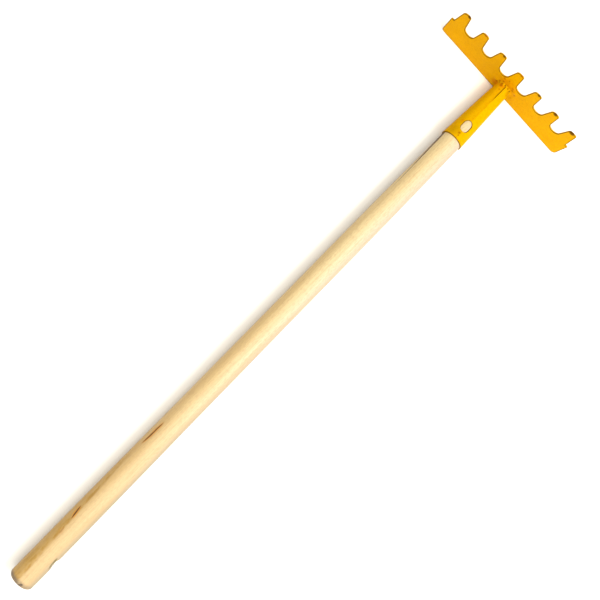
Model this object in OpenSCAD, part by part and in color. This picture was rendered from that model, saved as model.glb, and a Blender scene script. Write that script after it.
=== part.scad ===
// Child's garden rake: a toothed sheet-steel blade welded to a rolled conical
// socket, with a plain turned wooden handle pushed into the socket.
//
// Frame: +Y runs along the handle to the blade, +X across the blade, +Z up.
// The rake lies on its back: the grip and the blade's straight back edge touch
// z = 0 and the teeth point up. The origin is the centre of the bounding box
// at that surface.

/* [Handle] */
// Length of handle that shows, from its free end to the socket's mouth
exposed_l = 606; // [560:5:680]
// Diameter of the straight grip
grip_d = 26; // [25.5:0.1:28]
// Length of the straight grip, rounding included
grip_l = 110; // [80:5:140]
// Length over which the grip thins down to the shaft
thinning_l = 120; // [60:5:160]
// Diameter at the start of the shaft
shaft_d = 25; // [24.4:0.1:25.2]
// Diameter of the shaft where its end taper starts
shaft_end_d = 24.5; // [23.6:0.1:24.8]
// Length of that end taper, outside the socket
end_taper_l = 95; // [60:5:120]
// Radius of the rounding at the free end
butt_r = 3; // [1:0.5:5]
// Depth of wood held inside the socket
spigot_l = 45; // [35:1:55]

/* [Socket] */
// Length from the mouth to the blade
socket_l = 80; // [70:1:95]
// Outer diameter at the mouth
mouth_d = 25.2; // [24.8:0.1:25.4]
// Outer diameter at the blade
neck_d = 17.8; // [17:0.1:19]
// Thickness of the rolled sheet
socket_t = 1; // [0.8:0.1:1.2]
// Length of the obround nail slot
slot_l = 14; // [12:0.5:16]
// Width of the nail slot
slot_w = 9.5; // [8:0.5:11]
// Distance from the mouth to the centre of the nail slot
slot_inset = 17.5; // [15:0.5:25]
// Width of the rolled sheet's open seam at the blade
seam_w = 0.5; // [0.4:0.1:1]
// Length over which that seam closes
seam_l = 32; // [20:1:40]

/* [Blade] */
// Number of teeth
tooth_count = 7; // [5:2:9]
// Distance from one tooth to the next
tooth_pitch = 26.1; // [26:0.1:30]
// Thickness of the sheet
blade_t = 1.5; // [1.2:0.1:2]
// Height of the bar, from the back edge to the bottoms of the gaps
bar_h = 30.4; // [30:0.2:34]
// Height from the back edge to the tips of the teeth
blade_h = 56; // [52:0.5:58]
// Radius of the round bottom of each gap
gap_r = 6.2; // [5.2:0.1:6.4]
// Lean of each side of a tooth
flank_lean = 7; // [5:0.5:7]
// Radius of the corners at each tip
tip_r = 3.4; // [2:0.1:3.6]
// Width of the shoulder beyond the first and last teeth
shoulder_w = 3.2; // [2:0.1:6]
// Radius of the two corners of the back edge
corner_r = 5; // [2:0.5:8]

/* [Weld] */
// Radius of the weld bead's round section
weld_r = 1.6; // [1.2:0.1:2.2]

/* [Hidden] */
$fn = 96;

overall_l = exposed_l + socket_l + blade_t;
butt_y = -overall_l / 2;
mouth_y = butt_y + exposed_l;
face_y = mouth_y + socket_l;
axis_z = grip_d / 2;

// The socket thins by this much radius per millimetre towards the blade
socket_taper = (mouth_d - neck_d) / 2 / socket_l;
bore_r = mouth_d / 2 - socket_t;
// Gap between wood and sheet, so that the two solids only just stay apart
wood_gap = 0.05;
spigot_r = bore_r - wood_gap;

// Each gap between teeth: a round bottom, then straight sides that lean apart
gap_centre_z = bar_h + gap_r;
gap_half_w = gap_r / cos(flank_lean);
last_tooth = (tooth_count - 1) / 2;
comb_half_w = last_tooth * tooth_pitch + tooth_half_w(bar_h);
bar_half_w = comb_half_w + shoulder_w;
// Sideways distance from a tooth's middle to the centres of its tip corners
tip_centre_x = tooth_half_w(blade_h) - tip_r * tan(45 - flank_lean / 2);
// Straight steps in each arc of the outline
arc_steps = 10;

// Half the width of a tooth at height z
function tooth_half_w(z) = tooth_pitch / 2 - gap_half_w - (z - gap_centre_z) * tan(flank_lean);

// Turns a solid made along +Z so that it runs along the handle, starting at y
module along_handle(y) {
    translate([0, y, axis_z])
        rotate([-90, 0, 0])
            children();
}

// Turned handle: rounded free end, straight grip, slim shaft and tapered spigot
module handle() {
    shaft_start = grip_l + thinning_l;
    handle_l = exposed_l + spigot_l;
    color("burlywood")
        along_handle(butt_y)
            rotate_extrude()
                union() {
                    polygon([
                        [0, 0],
                        [grip_d / 2 - butt_r, 0],
                        [grip_d / 2, butt_r],
                        [grip_d / 2, grip_l],
                        [shaft_d / 2, shaft_start],
                        [shaft_end_d / 2, exposed_l - end_taper_l],
                        [spigot_r, exposed_l],
                        [spigot_r - spigot_l * socket_taper, handle_l],
                        [0, handle_l]
                    ]);
                    translate([grip_d / 2 - butt_r, butt_r])
                        circle(butt_r);
                }
}

// Nail slot, drawn as a straight-sided hole through the top wall
module slot_cutter() {
    centre_y = mouth_y + slot_inset;
    reach = (slot_l - slot_w) / 2;
    translate([0, centre_y, axis_z])
        linear_extrude(mouth_d)
            union() {
                for (side = [-1, 1])
                    translate([0, side * reach])
                        circle(d = slot_w);
                square([slot_w, 2 * reach], center = true);
            }
}

// Seam of the rolled sheet: a thin wedge that is widest at the blade
module seam_cutter() {
    translate([0, face_y, axis_z])
        linear_extrude(mouth_d)
            polygon([[-seam_w / 2, 1], [seam_w / 2, 1], [seam_w / 2, 0], [0, -seam_l], [-seam_w / 2, 0]]);
}

// Conical socket rolled from sheet
module socket() {
    color("orange")
        difference() {
            along_handle(mouth_y)
                rotate_extrude()
                    polygon([
                        [bore_r, 0],
                        [mouth_d / 2, 0],
                        [neck_d / 2, socket_l],
                        [neck_d / 2 - socket_t, socket_l]
                    ]);
            slot_cutter();
            seam_cutter();
        }
}

// Points along an arc of radius r about [x, z], from angle a to angle b
function arc(x, z, r, a, b) =
    [for (i = [0 : arc_steps]) let (t = a + (b - a) * i / arc_steps) [x + r * cos(t), z + r * sin(t)]];

// Rounded tip of the tooth centred on x, from its left flank to its right flank
function tip_points(x) = concat(
    arc(x - tip_centre_x, blade_h - tip_r, tip_r, 180 - flank_lean, 90),
    arc(x + tip_centre_x, blade_h - tip_r, tip_r, 90, flank_lean)
);

// Round bottom of the gap centred on x
function gap_points(x) = arc(x, gap_centre_z, gap_r, 180 + flank_lean, 360 - flank_lean);

// Outline of the blade, seen along the handle
module blade_2d() {
    comb = [
        for (i = [0 : tooth_count - 1])
            let (x = (i - last_tooth) * tooth_pitch)
                each concat(tip_points(x), i < tooth_count - 1 ? gap_points(x + tooth_pitch / 2) : [])
    ];
    polygon(concat(
        arc(corner_r - bar_half_w, corner_r, corner_r, 270, 180),
        [[-bar_half_w, bar_h], [-comb_half_w, bar_h]],
        comb,
        [[comb_half_w, bar_h], [bar_half_w, bar_h]],
        arc(bar_half_w - corner_r, corner_r, corner_r, 0, -90)
    ));
}

// Toothed blade cut from flat sheet, standing across the end of the socket
module blade() {
    color("orange")
        translate([0, face_y + blade_t, 0])
            rotate([90, 0, 0])
                linear_extrude(blade_t)
                    blade_2d();
}

// Weld bead around the socket's end, in the corner against the blade
module weld() {
    reach = 2 * weld_r;
    color("darkorange")
        along_handle(face_y)
            rotate_extrude()
                intersection() {
                    translate([neck_d / 2, 0])
                        circle(weld_r);
                    polygon([
                        [neck_d / 2, 0],
                        [neck_d / 2 + reach, 0],
                        [neck_d / 2 + reach, -reach],
                        [neck_d / 2 + reach * socket_taper, -reach]
                    ]);
                }
}

handle();
socket();
blade();
weld();
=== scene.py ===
import math

import bmesh
import bpy
from mathutils import Matrix, Vector, geometry, noise


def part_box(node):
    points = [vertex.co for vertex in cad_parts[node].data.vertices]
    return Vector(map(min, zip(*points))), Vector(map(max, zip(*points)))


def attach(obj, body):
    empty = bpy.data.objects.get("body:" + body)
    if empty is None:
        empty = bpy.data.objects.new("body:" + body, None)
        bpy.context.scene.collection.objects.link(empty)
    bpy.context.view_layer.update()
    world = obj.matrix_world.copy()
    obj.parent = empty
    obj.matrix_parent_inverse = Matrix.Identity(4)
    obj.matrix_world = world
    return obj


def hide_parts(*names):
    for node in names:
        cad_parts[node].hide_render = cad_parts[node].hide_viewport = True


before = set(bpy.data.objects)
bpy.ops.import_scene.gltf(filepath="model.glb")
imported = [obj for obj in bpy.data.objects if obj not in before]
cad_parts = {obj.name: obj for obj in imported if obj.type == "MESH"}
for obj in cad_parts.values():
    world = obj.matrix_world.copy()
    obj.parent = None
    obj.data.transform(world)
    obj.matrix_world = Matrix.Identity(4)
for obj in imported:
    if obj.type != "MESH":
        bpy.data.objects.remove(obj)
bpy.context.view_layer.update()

# Looks of the child's garden rake: a turned handle, a rolled sheet socket, a toothed sheet
# blade and the weld between them. Every piece replaces its CAD node and rides on body "root".
# Lengths are in metres. Frame: +Y along the handle to the blade, +X across, +Z up.

MM = 0.001
handle_low, handle_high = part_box("handle")
socket_low, socket_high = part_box("socket")
blade_low, blade_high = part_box("blade")

BUTT_Y = handle_low.y
SPIGOT_END_Y = handle_high.y
MOUTH_Y = socket_low.y
FACE_Y = blade_low.y
AXIS_Z = (handle_low.z + handle_high.z) / 2
GRIP_R = (handle_high.x - handle_low.x) / 2
MOUTH_R = (socket_high.x - socket_low.x) / 2
BLADE_T = blade_high.y - blade_low.y
BLADE_H = blade_high.z - blade_low.z
BAR_HALF_W = (blade_high.x - blade_low.x) / 2

# Socket: the obround nail slot is two half circles of SLOT_R, each SLOT_REACH from its centre. The seam
# is open at the blade and closes over SEAM_L
NECK_R = 8.9 * MM
SOCKET_T = 1 * MM
SLOT_CENTRE = 17.5 * MM
SLOT_R = 4.75 * MM
SLOT_REACH = 2.25 * MM
SEAM_HALF_W = 0.13 * MM
SEAM_L = 34 * MM

# Blade
TOOTH_COUNT = 7
TOOTH_PITCH = 26.1 * MM
BAR_H = 30.4 * MM
GAP_R = 6.2 * MM
FLANK_LEAN = math.radians(7)
SHOULDER_W = 3.2 * MM

# Size of the bead at the sides of the socket and on top
WELD_SIDE_R = 0.7 * MM
WELD_TOP_R = 1.5 * MM

# The head sits slightly out of line: socket and blade are turned clockwise, seen from above
SOCKET_TURN = math.radians(-0.5)
BLADE_TURN = math.radians(-1.16)


def smoothstep(value, low, high):
    """0 below low, 1 above high, and a smooth rise between."""
    t = min(max((value - low) / (high - low), 0), 1)
    return t * t * (3 - 2 * t)


def hump(distance, reach):
    """1 at distance 0, falling smoothly to 0 at reach."""
    return 1 - smoothstep(abs(distance), 0, reach)


def wobble(x, y, z, seed=0.0):
    """Smooth noise from about -1 to 1."""
    return noise.noise(Vector((x + seed, y - seed, z + 2 * seed)))


def add_object(name, verts, faces, edge_values=None):
    """A smooth-shaded mesh object. edge_values, one per vertex, say how near it is to a sheet's edge."""
    mesh = bpy.data.meshes.new(name)
    mesh.from_pydata(verts, [], faces)
    if edge_values:
        attribute = mesh.attributes.new("edge", "FLOAT", "POINT")
        attribute.data.foreach_set("value", edge_values)
    working = bmesh.new()
    working.from_mesh(mesh)
    bmesh.ops.recalc_face_normals(working, faces=working.faces)
    working.to_mesh(mesh)
    working.free()
    mesh.shade_smooth()
    piece = bpy.data.objects.new(name, mesh)
    bpy.context.scene.collection.objects.link(piece)
    return piece


def ring_faces(ring_count, points_per_ring):
    """Quads between neighbouring closed rings."""
    faces = []
    for i in range(ring_count - 1):
        for j in range(points_per_ring):
            k = (j + 1) % points_per_ring
            here, there = i * points_per_ring, (i + 1) * points_per_ring
            faces.append((here + j, here + k, there + k, there + j))
    return faces


# ---------------------------------------------------------------- handle

# Distance from the butt and radius, as in the CAD
HANDLE_PROFILE = [
    (0, GRIP_R),
    (110 * MM, GRIP_R),
    (230 * MM, 12.5 * MM),
    (511 * MM, 12.25 * MM),
    (606 * MM, 11.55 * MM),
    (651 * MM, 9.45 * MM),
]
BUTT_ROUNDING = 3.4 * MM
HANDLE_SEGMENTS = 112


def handle_radius(y):
    """Radius of the turned handle at y, without its rounded end."""
    distance = y - BUTT_Y
    for (d0, r0), (d1, r1) in zip(HANDLE_PROFILE, HANDLE_PROFILE[1:]):
        if distance <= d1:
            return r0 + (r1 - r0) * max(distance - d0, 0) / (d1 - d0)
    return HANDLE_PROFILE[-1][1]


def handle_wear(y, turn):
    """How far the wood is worn inwards; turn is the angle in degrees from the top towards +X."""
    from_butt = y - BUTT_Y
    # Dent with a long near side and a short far side
    into_dent = from_butt - 34 * MM
    reach = 8 * MM if into_dent < 0 else 5.5 * MM
    dent = 2 * MM * max(0, 1 - abs(into_dent) / reach) * hump(turn - 80, 38)
    # Chip in the rim of the butt
    chip = 0.7 * MM * hump(from_butt - 2.2 * MM, 2.2 * MM) * hump(turn - 9, 9)
    # Narrow split just below the socket
    split = 0.35 * MM * hump(y - MOUTH_Y + 9 * MM, 11 * MM) * hump(turn + 79, 5)
    return dent + chip + split


def spigot_shift(y):
    """How far the wood bends towards +X inside the socket, to stay in line with it."""
    return max(y - MOUTH_Y, 0) * math.tan(-SOCKET_TURN)


def handle_rings():
    """(y, radius) of each ring, from the middle of the butt to the end of the spigot."""
    flat_r = GRIP_R - BUTT_ROUNDING
    rings = [(BUTT_Y + 0.05 * MM, flat_r * share) for share in (0.12, 0.35, 0.6, 0.8, 0.93)]
    for i in range(10):
        angle = math.pi / 2 * i / 9
        rings.append((
            BUTT_Y + BUTT_ROUNDING * (1 - math.cos(angle)),
            flat_r + BUTT_ROUNDING * math.sin(angle),
        ))
    y = BUTT_Y + BUTT_ROUNDING
    while y < SPIGOT_END_Y - 0.5 * MM:
        fine = 22 * MM < y - BUTT_Y < 42 * MM or abs(y - MOUTH_Y) < 14 * MM
        y += 0.7 * MM if fine else 2.4 * MM
        y = min(y, SPIGOT_END_Y - 0.5 * MM)
        rings.append((y, handle_radius(y)))
    for share in (0.95, 0.6, 0.2):
        rings.append((SPIGOT_END_Y, (handle_radius(SPIGOT_END_Y) - 0.5 * MM) * share))
    return rings


def build_handle():
    """Turned wooden handle, slightly wavy, with a rounded and worn free end."""
    verts = []
    rings = handle_rings()
    for y, radius in rings:
        in_socket = smoothstep(y, MOUTH_Y - 2 * MM, MOUTH_Y)
        for j in range(HANDLE_SEGMENTS):
            turn = 360 * j / HANDLE_SEGMENTS
            turn -= 360 if turn > 180 else 0
            across, up = math.sin(math.radians(turn)), math.cos(math.radians(turn))
            wave = 0.1 * MM * wobble(across * 1.2, y * 26, up * 1.2) * (1 - in_socket) - 0.06 * MM
            share = radius / handle_radius(y)
            r = radius + (wave - handle_wear(y, turn)) * share
            # The sawn butt isn't quite flat
            face = hump(y - BUTT_Y, 1.5 * MM) * (1 - share)
            dy = 0.25 * MM * face * (1 + wobble(across * share * 3, 5, up * share * 3))
            verts.append((across * r + spigot_shift(y), y + dy, AXIS_Z + up * r))
    faces = ring_faces(len(rings), HANDLE_SEGMENTS)
    last_ring = (len(rings) - 1) * HANDLE_SEGMENTS
    for start, y in ((0, BUTT_Y + 0.3 * MM), (last_ring, SPIGOT_END_Y)):
        verts.append((spigot_shift(y), y, AXIS_Z))
        centre = len(verts) - 1
        for j in range(HANDLE_SEGMENTS):
            faces.append((start + j, start + (j + 1) % HANDLE_SEGMENTS, centre))
    return add_object("turned_handle", verts, faces)


# ---------------------------------------------------------------- socket

SOCKET_COLUMNS = 72
SOCKET_EDGE_R = 0.3 * MM
EDGE_STEPS = 4


def socket_radius(y, turn):
    """Outer radius of the rolled cone. turn, in degrees, is measured from the seam on top."""
    along = (y - MOUTH_Y) / (FACE_Y - MOUTH_Y)
    radius = MOUTH_R + (NECK_R - MOUTH_R) * along
    # The two edges of the sheet stay flat beside the seam, so they meet in a low crest
    flat = 20 * smoothstep(along, 0.02, 0.35)
    off_seam = min(abs(turn), 360 - abs(turn))
    crest = 1 / math.cos(math.radians(max(flat - off_seam, 0))) - 1
    angle = math.radians(turn)
    uneven = 0.08 * MM * wobble(math.cos(angle) * 1.4, y * 50, math.sin(angle) * 1.4, 3.1)
    return radius * (1 + crest) + uneven


def socket_opening(y):
    """Half the distance between the rolled sheet's two edges at y, measured across."""
    seam = SEAM_HALF_W * smoothstep(y, FACE_Y - SEAM_L, FACE_Y - 8 * MM) + 0.02 * MM
    beyond = max(abs(y - MOUTH_Y - SLOT_CENTRE) - SLOT_REACH, 0)
    slot = math.sqrt(max(SLOT_R ** 2 - beyond ** 2, 0))
    return max(seam, slot)


def socket_section(y, thinning):
    """One closed cross-section of the sheet: outer face, one edge, inner face, other edge. Also how
    near each point is to an edge. thinning is how much the sheet draws in at its two ends."""
    radius = socket_radius(y, 180)
    opening = socket_opening(y)
    start = math.degrees((opening + thinning) / radius)
    # Where the seam is shut, paint bridges it and only a shallow groove shows
    openness = smoothstep(opening, 0.04 * MM, SEAM_HALF_W)
    dark_reach = (0.5 + 0.6 * smoothstep(opening, SEAM_HALF_W, 1 * MM)) * MM
    edge_r = SOCKET_EDGE_R * (0.35 + 0.65 * openness)
    edge_turn = math.degrees(edge_r / radius)
    points, nearness = [], []

    def add(turn, depth, near):
        r = socket_radius(y, turn) - depth
        angle = math.radians(turn)
        points.append((math.sin(angle) * r, y, AXIS_Z + math.cos(angle) * r))
        nearness.append(near)

    def across(depth, backwards):
        for j in range(SOCKET_COLUMNS + 1):
            share = j / SOCKET_COLUMNS
            # Closer columns beside the seam, where the crest and the slot are
            share = share - 0.11 * math.sin(2 * math.pi * share)
            turn = start + edge_turn + (360 - 2 * (start + edge_turn)) * share
            turn = 360 - turn if backwards else turn
            from_edge = math.radians(min(turn, 360 - turn) - start) * radius
            add(turn, depth, openness * (1 - smoothstep(from_edge, 0.2 * MM, dark_reach)))

    def edge(side):
        for j in range(1, EDGE_STEPS):
            angle = math.pi * j / EDGE_STEPS
            bulge = math.sin(angle) * edge_turn
            depth = thinning + (SOCKET_T - 2 * thinning) * (1 - math.cos(angle)) / 2
            if side > 0:
                add(360 - start - edge_turn + bulge, depth, openness)
            else:
                add(start + edge_turn - bulge, SOCKET_T - depth, openness)

    across(thinning, False)
    edge(1)
    across(SOCKET_T - thinning, True)
    edge(-1)
    return points, nearness


def socket_rows():
    """(y, thinning) of each section, finer at both ends of the slot and at the two rims."""
    rows = []
    for i in range(5):
        angle = math.pi / 2 * i / 4
        rim_y = MOUTH_Y + SOCKET_EDGE_R * (1 - math.cos(angle))
        rows.append((rim_y, SOCKET_EDGE_R * (1 - math.sin(angle))))
    slot_start = MOUTH_Y + SLOT_CENTRE - SLOT_REACH
    slot_end = MOUTH_Y + SLOT_CENTRE + SLOT_REACH
    y = MOUTH_Y + 1.4 * MM
    while y < slot_start - SLOT_R - 0.5 * MM:
        rows.append((y, 0))
        y += 1.3 * MM
    arc_steps = 14
    for i in range(arc_steps + 1):
        rows.append((slot_start - SLOT_R * math.cos(math.pi / 2 * i / arc_steps), 0))
    for i in range(1, 3):
        rows.append((slot_start + (slot_end - slot_start) * i / 3, 0))
    for i in range(arc_steps + 1):
        rows.append((slot_end + SLOT_R * math.sin(math.pi / 2 * i / arc_steps), 0))
    y = slot_end + SLOT_R + 0.5 * MM
    while y < FACE_Y - 0.6 * MM:
        rows.append((y, 0))
        y += 1.3 * MM
    rows.append((FACE_Y - 0.05 * MM, 0))
    return rows


def build_socket():
    """Conical socket rolled from one sheet, with a seam along the top and a nail slot."""
    verts, nearness = [], []
    rows = socket_rows()
    for y, thinning in rows:
        points, near = socket_section(y, thinning)
        verts += points
        at_mouth = 1 - smoothstep(y - MOUTH_Y, SOCKET_EDGE_R, 1.2 * MM)
        nearness += [max(n, at_mouth) for n in near]
    count = len(points)
    faces = ring_faces(len(rows), count)
    # Close both ends with quads from the outer face to the inner one
    inner_last = 2 * SOCKET_COLUMNS + EDGE_STEPS
    for start in (0, (len(rows) - 1) * count):
        for j in range(SOCKET_COLUMNS):
            inner = start + inner_last - j
            faces.append((start + j, start + j + 1, inner - 1, inner))
        faces.append(tuple(start + SOCKET_COLUMNS + k for k in range(EDGE_STEPS + 1)))
        faces.append(tuple(start + (inner_last + k) % count for k in range(EDGE_STEPS + 1)))
    return add_object("rolled_socket", verts, faces, nearness)


# ---------------------------------------------------------------- blade

BLADE_EDGE_R = 0.45 * MM
# Spatter and lumps of weld on the blade's face: x, z, radius and height in mm
SPATTER = [
    (-9.5, 27.0, 3.4, 0.75),
    (-6.8, 30.5, 2.6, 0.9),
    (6.5, 29.5, 3.0, 0.95),
    (-1.5, 32.5, 2.0, 0.55),
    (11.5, 24.5, 3.2, 0.8),
    (14.5, 21.5, 1.8, 0.45),
    (2.0, 28.0, 3.6, 0.8),
    (-12.8, 17.0, 2.6, 0.7),
    (-13.5, 22.5, 1.2, 0.35),
    (13.8, 12.0, 2.2, 0.5),
    (17.5, 16.0, 0.9, 0.3),
    (-17.0, 29.0, 0.8, 0.3),
]


def arc(x, z, radius, start, end, steps=12):
    """Points along an arc about (x, z); the angles are in radians."""
    angles = [start + (end - start) * i / steps for i in range(steps + 1)]
    return [Vector((x + radius * math.cos(a), z + radius * math.sin(a))) for a in angles]


def tooth_half_width(z):
    """Half the width of a tooth at height z."""
    gap_half = GAP_R / math.cos(FLANK_LEAN)
    return TOOTH_PITCH / 2 - gap_half - (z - BAR_H - GAP_R) * math.tan(FLANK_LEAN)


def tip_corner(x, top, radius, side):
    """Rounded corner at a tooth's tip, on its left (-1) or right (1) side."""
    centre_x = x + side * (tooth_half_width(top) - radius * math.tan(math.pi / 4 - FLANK_LEAN / 2))
    flank = math.pi / 2 - side * (math.pi / 2 - FLANK_LEAN)
    ends = (flank, math.pi / 2) if side < 0 else (math.pi / 2, flank)
    return arc(centre_x, top - radius, radius, *ends)


def subdivide(points, longest):
    """The closed outline with extra points on its long straight stretches."""
    result = []
    for here, there in zip(points, points[1:] + points[:1]):
        pieces = max(1, math.ceil((there - here).length / longest))
        result += [here.lerp(there, i / pieces) for i in range(pieces)]
    return result


def blade_outline():
    """Outline of the blade as (x, z), counter-clockwise. Its teeth and corners differ a little."""
    half_turn, quarter = math.pi, math.pi / 2
    left_corner, right_corner = 4.2 * MM, 5.5 * MM
    comb_half = BAR_HALF_W - SHOULDER_W
    points = arc(left_corner - BAR_HALF_W, left_corner, left_corner, 3 * quarter, half_turn)
    points += arc(-BAR_HALF_W + 1.2 * MM, BAR_H - 1.2 * MM, 1.2 * MM, half_turn, quarter, 5)
    points.append(Vector((-comb_half, BAR_H)))
    for i in range(TOOTH_COUNT):
        x = (i - (TOOTH_COUNT - 1) / 2) * TOOTH_PITCH
        share = i / (TOOTH_COUNT - 1)
        top = BLADE_H + 0.25 * MM * (1 - wobble(i * 3.7, 1, 2))
        left_tip = 5.6 * MM if i == 0 else (4.7 - 0.4 * share) * MM
        right_tip = (3.2 - 1.1 * share) * MM
        points += tip_corner(x, top, left_tip, -1)
        points += tip_corner(x, top, right_tip, 1)
        if i < TOOTH_COUNT - 1:
            gap_x = x + TOOTH_PITCH / 2
            gap_ends = (half_turn + FLANK_LEAN, 2 * half_turn - FLANK_LEAN)
            points += arc(gap_x, BAR_H + GAP_R, GAP_R, *gap_ends, 16)
    points.append(Vector((comb_half, BAR_H)))
    points += arc(BAR_HALF_W - 1.2 * MM, BAR_H - 1.2 * MM, 1.2 * MM, quarter, 0, 5)
    points += arc(BAR_HALF_W - right_corner, right_corner, right_corner, 0, -quarter)
    points.reverse()
    # Beads of paint on the right flanks of the last three tips
    for i, size in ((4, 0.4 * MM), (5, 0.6 * MM), (6, 0.65 * MM)):
        x = (i - (TOOTH_COUNT - 1) / 2) * TOOTH_PITCH
        bead = Vector((x + tooth_half_width(BLADE_H), BLADE_H - 2.8 * MM))
        for point in points:
            point.x += size * hump((point - bead).length, 3.2 * MM)
    return subdivide(points, 1.6 * MM)


def inset(points, distance):
    """The closed counter-clockwise outline moved inwards."""
    moved = []
    for i, here in enumerate(points):
        before = (here - points[i - 1]).normalized()
        after = (points[(i + 1) % len(points)] - here).normalized()
        normals = [Vector((-d.y, d.x)) for d in (before, after)]
        inwards = (normals[0] + normals[1]).normalized()
        moved.append(here + inwards * distance / max(inwards.dot(normals[0]), 0.5))
    return moved


def face_points(outline):
    """Extra points inside the outline, on a grid that is finer around the weld."""
    points = []
    step = 1.1 * MM
    rows = int(BLADE_H / step)
    columns = int(BAR_HALF_W / step)
    for i in range(-columns, columns + 1):
        for k in range(rows):
            x, z = (i + 0.5 * (k % 2)) * step, (k + 0.5) * step
            near_weld = math.hypot(x, z - 20 * MM) < 24 * MM
            if not near_weld and (i % 3 or k % 3):
                continue
            if inside(outline, x, z):
                points.append(Vector((x, z)))
    return points


def inside(outline, x, z):
    """True where (x, z) is inside the closed outline."""
    found = False
    for a, b in zip(outline, outline[1:] + outline[:1]):
        if (a.y > z) != (b.y > z) and x < a.x + (b.x - a.x) * (z - a.y) / (b.y - a.y):
            found = not found
    return found


def place_on_blade(x, z, out):
    """Point on the blade, out metres from its middle towards the handle."""
    warp = 0.22 * MM * wobble(x * 14, 0, z * 14, 1.7) * smoothstep(abs(x), 8 * MM, 40 * MM)
    if out > BLADE_T / 2 - 0.3 * MM:
        for sx, sz, radius, height in SPATTER:
            away = math.hypot(x - sx * MM, z - sz * MM)
            lump = 1 + 0.3 * wobble(x * 700, 0, z * 700)
            out += height * MM * lump * hump(away, radius * MM * 1.25)
        out += 0.03 * MM * wobble(x * 160, 0, z * 160, 9)
    return (x, FACE_Y + BLADE_T / 2 - out + warp, z)


def build_blade():
    """Flat toothed blade with rounded sheet edges."""
    outline = blade_outline()
    count = len(outline)
    # (distance in from the outline, distance out from the middle, nearness to the edge)
    profile = [(1.15 * MM, BLADE_T / 2, 0.2), (0.7 * MM, BLADE_T / 2, 0.85)]
    for i, near in enumerate((1, 1, 0.9, 0.3)):
        angle = math.pi / 2 * i / 3
        profile.append((
            BLADE_EDGE_R * (1 - math.sin(angle)),
            BLADE_T / 2 - BLADE_EDGE_R * (1 - math.cos(angle)),
            near,
        ))
    profile += [(d, -out, near) for d, out, near in reversed(profile)]
    verts, nearness = [], []
    for distance, out, near in profile:
        verts += [place_on_blade(p.x, p.y, out) for p in inset(outline, distance)]
        nearness += [near] * count
    faces = ring_faces(len(profile), count)
    # Fill both faces inside the first and the last ring
    ring = inset(outline, profile[0][0])
    scale = 1 / MM
    fill = face_points(inset(outline, 2.4 * MM))
    loop = list(range(count))
    flat = [p * scale for p in ring + fill]
    found = geometry.delaunay_2d_cdt(flat, [], [loop], 1, 1e-6)
    for ring_start, out in ((0, BLADE_T / 2), ((len(profile) - 1) * count, -BLADE_T / 2)):
        index = []
        for point, sources in zip(found[0], found[3]):
            on_ring = [s for s in sources if s < count]
            if on_ring:
                index.append(ring_start + on_ring[0])
            else:
                index.append(len(verts))
                verts.append(place_on_blade(point.x / scale, point.y / scale, out))
                nearness.append(0)
        faces += [tuple(index[v] for v in face) for face in found[2]]
    return add_object("toothed_blade", verts, faces, nearness)


# ---------------------------------------------------------------- weld

def build_weld():
    """Rough bead around the socket's end, laid in the corner against the blade."""
    turns, steps = 264, 14
    sunk = 0.5 * MM
    verts = []
    for i in range(turns):
        angle = 2 * math.pi * i / turns
        across, up = math.sin(angle), math.cos(angle)
        # The bead is biggest and roughest on top
        on_top = smoothstep(up, 0.1, 0.9)
        ripple = 0.12 * abs(math.sin(13 * angle + 0.8 * wobble(across * 2, up * 2, 0)))
        lumps = (0.1 + 0.5 * on_top) * wobble(across * 6, 3, up * 6)
        size = (WELD_SIDE_R + (WELD_TOP_R - WELD_SIDE_R) * on_top) * (0.94 + ripple + lumps)
        section = []
        # Swept from just inside the blade round to just inside the socket's wall
        for j in range(steps + 1):
            lean = math.radians(-8 + 106 * j / steps)
            lump = 1 + 0.3 * wobble(across * 11, lean * 2.5, up * 11, 5)
            section.append((NECK_R + size * lump * math.cos(lean), FACE_Y - size * lump * math.sin(lean)))
        section.append((NECK_R - sunk, FACE_Y - 0.8 * size))
        section.append((NECK_R - sunk, FACE_Y + sunk))
        section.append((NECK_R + 0.8 * size, FACE_Y + sunk))
        verts += [(across * r, y, AXIS_Z + up * r) for r, y in section]
    count = steps + 4
    faces = ring_faces(turns, count)
    last = (turns - 1) * count
    faces += [(last + j, last + (j + 1) % count, (j + 1) % count, j) for j in range(count)]
    return add_object("weld_bead", verts, faces)


# ---------------------------------------------------------------- materials

def linear(red, green, blue):
    """Linear colour from a 0-255 sRGB one."""
    channels = []
    for value in (red, green, blue):
        share = value / 255
        channels.append(share / 12.92 if share <= 0.04045 else ((share + 0.055) / 1.055) ** 2.4)
    return (*channels, 1)


class Number:
    """One number in a material's node tree. Sums written with it become Math nodes."""

    def __init__(self, tree, socket):
        self.tree = tree
        self.socket = socket

    def math(self, operation, *others):
        node = self.tree.nodes.new("ShaderNodeMath")
        node.operation = operation
        for entry, value in zip(node.inputs, (self, *others)):
            connect(self.tree, value, entry)
        return Number(self.tree, node.outputs[0])

    def __add__(self, other):
        return self.math("ADD", other)

    def __sub__(self, other):
        return self.math("SUBTRACT", other)

    def __mul__(self, other):
        return self.math("MULTIPLY", other)

    def __truediv__(self, other):
        return self.math("DIVIDE", other)

    def absolute(self):
        return self.math("ABSOLUTE")

    def ramp(self, low, high, start=0.0, end=1.0):
        """start below low, end above high, and a smooth change between."""
        node = self.tree.nodes.new("ShaderNodeMapRange")
        node.interpolation_type = "SMOOTHSTEP"
        for entry, value in zip(node.inputs, (self, low, high, start, end)):
            connect(self.tree, value, entry)
        return Number(self.tree, node.outputs[0])


def connect(tree, value, entry):
    """Links a node's output to entry, or sets entry to a plain value."""
    if isinstance(value, Number):
        tree.links.new(value.socket, entry)
    elif isinstance(value, bpy.types.NodeSocket):
        tree.links.new(value, entry)
    else:
        entry.default_value = value


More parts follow.
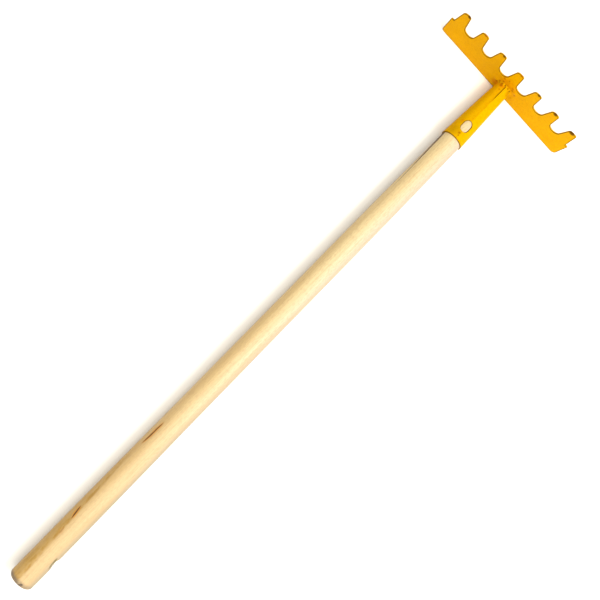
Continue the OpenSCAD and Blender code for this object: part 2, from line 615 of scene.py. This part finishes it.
class Material:
    """A new material with short ways to add the nodes that its looks need."""

    def __init__(self, name):
        self.material = bpy.data.materials.new(name)
        self.material.use_nodes = True
        self.tree = self.material.node_tree
        self.tree.nodes.clear()
        self.coordinates = self.tree.nodes.new("ShaderNodeTexCoord")

    def position(self):
        """x, y, z of the shaded point, which is also its place in the row frame."""
        node = self.tree.nodes.new("ShaderNodeSeparateXYZ")
        self.tree.links.new(self.coordinates.outputs["Object"], node.inputs[0])
        return [Number(self.tree, output) for output in node.outputs]

    def facing(self):
        """x, y, z of the surface's direction, in the row frame."""
        node = self.tree.nodes.new("ShaderNodeSeparateXYZ")
        self.tree.links.new(self.coordinates.outputs["Normal"], node.inputs[0])
        return [Number(self.tree, output) for output in node.outputs]

    def attribute(self, name):
        node = self.tree.nodes.new("ShaderNodeAttribute")
        node.attribute_name = name
        return Number(self.tree, node.outputs["Fac"])

    def noise(self, scales, detail=2.0, roughness=0.5, distortion=0.0, shift=0.0):
        """Noise from 0 to 1 with its own number of features per metre along x, y and z."""
        mapping = self.tree.nodes.new("ShaderNodeMapping")
        self.tree.links.new(self.coordinates.outputs["Object"], mapping.inputs["Vector"])
        mapping.inputs["Scale"].default_value = scales
        mapping.inputs["Location"].default_value = (shift, shift * 1.7, shift * 0.6)
        node = self.tree.nodes.new("ShaderNodeTexNoise")
        self.tree.links.new(mapping.outputs[0], node.inputs["Vector"])
        node.inputs["Scale"].default_value = 1.0
        node.inputs["Detail"].default_value = detail
        node.inputs["Roughness"].default_value = roughness
        node.inputs["Distortion"].default_value = distortion
        return Number(self.tree, node.outputs["Fac"])

    def mix(self, share, first, second):
        """Colour between first and second."""
        node = self.tree.nodes.new("ShaderNodeMix")
        node.data_type = "RGBA"
        connect(self.tree, share, node.inputs["Factor"])
        # The colour sockets come after those for numbers and vectors
        connect(self.tree, first, node.inputs[6])
        connect(self.tree, second, node.inputs[7])
        return node.outputs[2]

    def bump(self, height, distance, strength=1.0):
        node = self.tree.nodes.new("ShaderNodeBump")
        node.inputs["Strength"].default_value = strength
        node.inputs["Distance"].default_value = distance
        connect(self.tree, height, node.inputs["Height"])
        return node.outputs[0]

    def finish(self, color, roughness, normal, **fixed):
        """Adds the shader and the output. fixed holds values that are the same all over."""
        shader = self.tree.nodes.new("ShaderNodeBsdfPrincipled")
        connect(self.tree, color, shader.inputs["Base Color"])
        connect(self.tree, roughness, shader.inputs["Roughness"])
        connect(self.tree, normal, shader.inputs["Normal"])
        for name, value in fixed.items():
            shader.inputs[name.replace("_", " ")].default_value = value
        output = self.tree.nodes.new("ShaderNodeOutputMaterial")
        self.tree.links.new(shader.outputs[0], output.inputs["Surface"])
        return self.material


# Arc on the handle's surface for one degree around it, in mm
MM_PER_DEGREE = 0.225


def wood_mark(along, around, start, end, half_width, wander):
    """1 on a streak in the wood and 0 off it. start and end are (mm from the butt, degrees from the
    top); half_width is in mm."""
    (y0, turn0), (y1, turn1) = start, end
    middle_y, middle_turn = (y0 + y1) / 2, (turn0 + turn1) / 2
    half_length = (y1 - y0) / 2
    slope = (turn1 - turn0) / (y1 - y0)
    down = (along - middle_y) / half_length
    degrees_off = around - middle_turn - (along - middle_y) * slope
    off = degrees_off * MM_PER_DEGREE / half_width + wander
    return (down * down + off * off).ramp(1.3, 0.35)


def wood_material():
    """Bare sanded light hardwood: fibres, faint growth rings, heartwood and a few dark marks."""
    m = Material("bare_hardwood")
    x, y, z = m.position()
    up = z - AXIS_Z
    along = (y - BUTT_Y) / MM
    around = x.math("ARCTAN2", up) * (180 / math.pi)

    fibre = m.noise((1500, 22, 1500), 3, 0.6)
    fleck = m.noise((900, 260, 900), 2, 0.6, shift=8)
    pores = m.noise((2600, 90, 2600), 2, 0.5, shift=4)
    streak = m.noise((330, 5, 330), 3, 0.55, 0.3)
    cloud = m.noise((60, 9, 60), 2, 0.5, shift=7)

    # Growth rings about a pith that lies outside the handle and runs at a slight slant
    bend = (m.noise((30, 4, 30), 1, shift=2) - 0.5) * (7 * MM)
    pith_x = x + 31 * MM + y * 0.012
    pith_z = up + 22 * MM - y * 0.02
    ring_r = (pith_x * pith_x + pith_z * pith_z).math("SQRT") + bend
    late = (ring_r * (2 * math.pi / (2.6 * MM))).math("SINE").ramp(0.1, 1.0)

    # Warmer towards the butt and, as painted shade, on the -X side; paler towards the socket
    toward_socket = along.ramp(40, 470)
    pale = m.mix(toward_socket, linear(208, 180, 128), linear(219, 197, 145))
    warm = m.mix(toward_socket, linear(199, 162, 102), linear(209, 178, 120))
    painted_shade_side = around.ramp(-8, -48) * along.ramp(380, 560, 0.5, 0.25)
    warmth = streak.ramp(0.25, 0.8) * 0.5 + cloud.ramp(0.3, 0.8) * 0.25 + painted_shade_side
    color = m.mix(warmth, pale, warm)
    # The +X side is paler as a painted highlight, most of all near the socket, and greyer along its flank
    # as painted shade
    painted_highlight = around.ramp(-25, 55) * along.ramp(60, 500, 0.2, 0.75)
    color = m.mix(painted_highlight, color, linear(204, 182, 162))
    grey = m.mix(toward_socket, linear(152, 139, 112), linear(190, 170, 143))
    color = m.mix(around.ramp(18, 70) * 0.9, color, grey)
    # Rings, fibres and short flecks of the grain
    color = m.mix(late * 0.12, color, linear(182, 146, 92))
    color = m.mix(fibre.ramp(0.5, 0.75) * 0.42, color, linear(178, 142, 90))
    color = m.mix(fleck.ramp(0.47, 0.66) * 0.32, color, linear(180, 144, 102))

    # Heartwood on the -X side near the butt. Its mottled edge is the darkest part, and it runs further
    # down the -X side the further it is from the butt
    mottle = m.noise((260, 120, 260), 3, 0.6, shift=11)
    border = (along * -0.267) - 10 + (m.noise((90, 14, 90), 2, shift=11) - 0.5) * 12
    past_border = border - around
    heart = past_border.ramp(-6, 8) * along.ramp(215, 120) * (around + 165).ramp(0, 30)
    heart_color = m.mix(streak.ramp(0.3, 0.7), linear(170, 128, 52), linear(186, 147, 74))
    color = m.mix(heart * mottle.ramp(0.35, 0.65, 0.6, 0.95), color, heart_color)
    rim = (past_border - 5).absolute().ramp(11, 2) * mottle.ramp(0.42, 0.62) * along.ramp(190, 100)
    color = m.mix(rim * 0.4, color, linear(160, 112, 30))

    # Dark knots and mineral streaks, each with a warm halo: start, end, half width and strength
    wander = (m.noise((260, 60, 260), 3, 0.6, shift=3) - 0.5) * 1.6
    marks = [
        ((171, -50), (200, -43), 0.8, 1.0),
        ((76.5, -35), (91, -48), 1.0, 1.0),
        ((59, -28), (67, -32), 0.9, 0.3),
    ]
    for start, end, half_width, strength in marks:
        halo = wood_mark(along, around, start, end, half_width * 3, wander)
        color = m.mix(halo * (strength * 0.75), color, linear(204, 136, 44))
        core = wood_mark(along, around, start, end, half_width, wander)
        color = m.mix(core * strength, color, linear(92, 56, 6))

    # Splits below the socket, their dark streaks along the -X flank partly painted shade, the chip in the
    # butt's rim, and the bruised dent
    splits_and_shade = [
        ((526, -60), (608, -67), 0.6),
        ((560, -67), (613, -73), 1.5),
        ((588, -82), (613, -82), 2),
    ]
    for start, end, half_width in splits_and_shade:
        split = wood_mark(along, around, start, end, half_width, wander * 0.3)
        color = m.mix(split * 0.95, color, linear(66, 38, 12))
    chip = wood_mark(along, around, (0.2, 2), (4.6, 12), 1.8, wander * 0.4)
    color = m.mix(chip, color, linear(40, 20, 6))
    dent = wood_mark(along, around, (27, 63), (41.5, 46), 2.3, wander * 0.5)
    color = m.mix(dent * 0.9, color, linear(104, 92, 40))

    # Both flanks and the underside are darkened as painted shade, most of all beside the socket
    low = around.absolute().ramp(70, 96) * along.ramp(440, 600, 0.55, 0.85)
    color = m.mix(low, color, linear(128, 98, 60))

    # The rim and face of the butt are grey-brown from handling, with painted shade added towards the -X
    # side
    patchy = m.noise((420, 420, 420), 3, 0.6, shift=5).ramp(0.25, 0.7, 0.55, 1.0)
    grime_and_shade = along.ramp(7, 2.8) * patchy * around.ramp(60, -30, 0.65, 1.0)
    color = m.mix(grime_and_shade, color, linear(120, 104, 84))

    roughness = fibre.ramp(0.3, 0.8, 0.48, 0.62)
    height = fibre * 0.6 + pores * 0.3 + streak * 0.5 + late * 0.15
    return m.finish(color, roughness, m.bump(height, 0.12 * MM, 0.6), Specular_IOR_Level=0.4)


def paint_material(name, specks, tones, underside=0.0):
    """Thick yellow-orange enamel over sheet steel: uneven film, thin dark edges, darker as painted shade
    where they face -X, specks of grit. tones are its colours towards -X and +X, the -X one darker as
    painted shade; underside is how much painted shade darkens it where it faces down."""
    m = Material(name)
    x, y, z = m.position()
    film = m.noise((75, 75, 75), 3, 0.55, 0.4)
    fine = m.noise((420, 420, 420), 3, 0.6, shift=6)
    grit = m.noise((900, 900, 900), 2, 0.6, shift=9)
    # Painted shade: the -X tone is darker, and x sets how far each point leans to it
    color = m.mix(film.ramp(0.3, 0.7) * 0.4 + x.ramp(-40 * MM, 40 * MM) * 0.6, *tones)
    color = m.mix(fine.ramp(0.42, 0.72) * 0.5, color, linear(206, 138, 1))
    color = m.mix(grit.ramp(0.55, 0.7) * 0.3, color, linear(172, 114, 2))
    # The film is thin on the cut edges, where the steel darkens it; those that face -X are darkened more
    # as painted shade
    edge = m.attribute("edge")
    painted_shade_left = (m.facing()[0] * -1).ramp(0.1, 0.8) * edge.ramp(0.3, 0.6)
    thin = (edge + painted_shade_left * 0.35 + (fine - 0.5) * 0.5).ramp(0.3, 0.95)
    color = m.mix(thin * 0.9, color, linear(112, 78, 4))
    # Painted shade where the surface faces down, as strong as underside
    facing_down = m.facing()[2].ramp(0.34, -0.05)
    color = m.mix(facing_down * underside, color, linear(140, 98, 2))
    for (px, py, pz), radius, strength, tone in specks:
        dx, dy, dz = (x - px * MM) / MM, (y - py * MM) / MM, (z - pz * MM) / MM
        away = (dx * dx + dy * dy + dz * dz).math("SQRT") / radius
        spot = (away + (fine - 0.5) * 0.9).ramp(1.1, 0.45)
        color = m.mix(spot * strength, color, tone)
    roughness = fine.ramp(0.3, 0.75, 0.3, 0.42)
    height = film * 0.5 + fine * 0.35 + grit * 0.12
    return m.finish(color, roughness, m.bump(height, 0.25 * MM, 0.55), Specular_IOR_Level=0.008)


# Paint towards -X and towards +X; the darker -X tone is painted shade
SOCKET_TONES_WITH_SHADE = linear(213, 157, 1), linear(215, 163, 1)
BLADE_TONES_WITH_SHADE = linear(217, 156, 1), linear(230, 171, 1)
# How much painted shade darkens the socket where it faces down
SOCKET_UNDERSIDE_SHADE = 0.75
# Chips, bare spots, scorched paint that is also used as painted shade, and olive painted shade
DARK = linear(84, 50, 6)
RUST = linear(150, 78, 6)
SCORCH_AND_SHADE = linear(206, 110, 2)
OLIVE_SHADE = linear(150, 108, 4)


def blade_specks():
    """Dark chips at the tips, burnt paint around the weld, and painted shade beside and around the
    socket's end.
    Each has its place and radius in mm, its strength and its colour."""
    y = FACE_Y / MM
    return [
        ((-76, y, 56), 2.6, 0.95, DARK),
        ((-52, y, 56), 2.0, 0.7, RUST),
        ((-25, y, 56), 2.2, 0.8, DARK),
        ((1, y, 56), 2.0, 0.6, RUST),
        ((27, y, 56), 2.2, 0.85, DARK),
        ((52, y, 55.5), 3.0, 0.9, DARK),
        ((77, y, 55.5), 4.0, 0.9, DARK),
        # Painted shade in the corner left of the socket's end, partly scorched paint
        ((-11, y, 10), 5.0, 0.6, SCORCH_AND_SHADE),
        ((-10, y, 14), 2.4, 0.7, RUST),
        ((-8.4, y, 19), 2.0, 0.75, RUST),
        ((-5.6, y, 24), 1.6, 0.55, DARK),
        ((-7, y, 30), 2.0, 0.7, RUST),
        ((-2, y, 33), 1.4, 0.5, DARK),
        ((6.5, y, 28), 2.0, 0.7, RUST),
        ((7.5, y, 24), 1.5, 0.5, DARK),
        ((13, y, 21), 1.6, 0.7, RUST),
        # Painted shadow of the socket across the middle of the blade, partly scorched paint
        ((0, y, 27), 12.0, 0.35, SCORCH_AND_SHADE),
    ]


def socket_specks():
    """Scratches beside the nail slot, soot at the weld, and painted shade on the -X flank, beside the
    blade and right of the seam's end.
    """
    mouth, face = MOUTH_Y / MM, FACE_Y / MM
    return [
        ((-1, mouth + 7, 25), 1.6, 0.7, RUST),
        ((0.4, mouth + 4.5, 25), 1.1, 0.7, RUST),
        # Painted shade on the -X flank near the mouth
        ((-5, mouth + 7, 24), 7.0, 0.35, OLIVE_SHADE),
        ((-7, mouth + 20, 22), 2.4, 0.4, SCORCH_AND_SHADE),
        ((-4, face - 2, 22), 5.0, 0.45, SCORCH_AND_SHADE),
        ((-4.2, face - 3, 21), 1.8, 0.65, RUST),
        ((-3, face - 8, 22), 1.5, 0.4, RUST),
        ((1, face - 6, 24), 1.6, 0.5, RUST),
        # Painted shade where the socket's -X flank meets the blade, partly soot
        ((-10, face - 3, 13), 5.0, 0.6, SCORCH_AND_SHADE),
        # Painted shade in a band on the +X side of the socket's end
        ((7, face - 4, 19), 4.0, 0.5, OLIVE_SHADE),
    ]


def weld_specks():
    """Soot and bare spots along the bead."""
    face = FACE_Y / MM
    return [
        ((-7.5, face - 1, 18.5), 1.4, 0.5, DARK),
        ((-5, face - 1.5, 21), 1.6, 0.75, RUST),
        ((-1, face - 1.5, 23), 1.3, 0.75, DARK),
        ((3, face - 1.5, 22), 1.5, 0.5, RUST),
        ((6, face - 1, 20), 1.4, 0.7, DARK),
        ((-9, face - 1, 14), 2.5, 0.6, SCORCH_AND_SHADE),
    ]


# ---------------------------------------------------------------- assembly

def finish_piece(piece, material, node):
    """Gives a piece its material, hangs it on body "root" and hides the CAD part it stands for."""
    piece.data.materials.append(material)
    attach(piece, "root")
    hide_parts(node)


def build_floor():
    """Plain pale table top."""
    material = Material("pale_floor")
    tone = material.noise((3, 3, 3), 2)
    color = material.mix(tone, (0.98, 0.935, 0.83, 1), (0.99, 0.95, 0.85, 1))
    half = 4.0
    floor = add_object(
        "floor",
        [(-half, -half, 0), (half, -half, 0), (half, half, 0), (-half, half, 0)],
        [(0, 1, 2, 3)],
    )
    fine = material.noise((800, 800, 800), 2)
    floor.data.materials.append(
        material.finish(color, tone.ramp(0, 1, 0.6, 0.7), material.bump(fine, 0.02 * MM, 0.1))
    )


def add_lamp(name, location, size, energy):
    """A round soft lamp that faces the middle of the rake."""
    lamp = bpy.data.lights.new(name, "AREA")
    lamp.shape = "DISK"
    lamp.size = size
    lamp.energy = energy
    holder = bpy.data.objects.new(name, lamp)
    holder.location = location
    holder.rotation_euler = (-Vector(location)).to_track_quat("-Z", "Y").to_euler()
    bpy.context.scene.collection.objects.link(holder)


def add_lights():
    """Dim white surroundings, a wide lamp overhead and a smaller one from the +X and butt side."""
    world = bpy.data.worlds.new("white_studio")
    world.use_nodes = True
    background = world.node_tree.nodes["Background"]
    background.inputs["Color"].default_value = (1, 1, 1, 1)
    background.inputs["Strength"].default_value = 0.56
    bpy.context.scene.world = world
    add_lamp("overhead", (0.2, -0.35, 1.5), 1.8, 19)
    add_lamp("key", (0.9, 0.15, 1.2), 0.8, 18)


def add_camera():
    """The photograph's view: from above, with the handle running up to the right of the picture."""
    location = Vector((-0.0655, -0.0419, 0.7279))
    forward = Vector((0.09572, 0.10486, -0.98987))
    # Direction on the floor that is up in the picture, turned from +Y towards -X
    picture_up = math.radians(44.62)
    hint = Vector((-math.sin(picture_up), math.cos(picture_up), 0))
    forward.normalize()
    right = forward.cross(hint).normalized()
    up = right.cross(forward)
    lens = bpy.data.cameras.new("camera")
    lens.lens = 43.23
    lens.sensor_width = 36
    lens.clip_start = 0.01
    camera = bpy.data.objects.new("camera", lens)
    rotation = Matrix((right, up, -forward)).transposed().to_4x4()
    camera.matrix_world = Matrix.Translation(location) @ rotation
    bpy.context.scene.collection.objects.link(camera)
    bpy.context.scene.camera = camera


def turn_about(piece, y, angle):
    """Turns a piece about the vertical line through the handle's axis at y."""
    pivot = Vector((0, y, 0))
    turned = Matrix.Translation(pivot) @ Matrix.Rotation(angle, 4, "Z") @ Matrix.Translation(-pivot)
    piece.matrix_world = turned @ piece.matrix_world


add_camera()
handle, socket, blade, weld = build_handle(), build_socket(), build_blade(), build_weld()
turn_about(blade, FACE_Y, BLADE_TURN - SOCKET_TURN)
for piece in (socket, blade, weld):
    turn_about(piece, MOUTH_Y, SOCKET_TURN)
finish_piece(handle, wood_material(), "handle")
socket_paint = paint_material("enamel_socket", socket_specks(), SOCKET_TONES_WITH_SHADE, SOCKET_UNDERSIDE_SHADE)
blade_paint = paint_material("enamel_blade", blade_specks(), BLADE_TONES_WITH_SHADE)
weld_paint = paint_material("enamel_weld", weld_specks(), SOCKET_TONES_WITH_SHADE)
finish_piece(socket, socket_paint, "socket")
finish_piece(blade, blade_paint, "blade")
finish_piece(weld, weld_paint, "weld")
build_floor()
add_lights()
bpy.context.scene.view_settings.view_transform = "Standard"
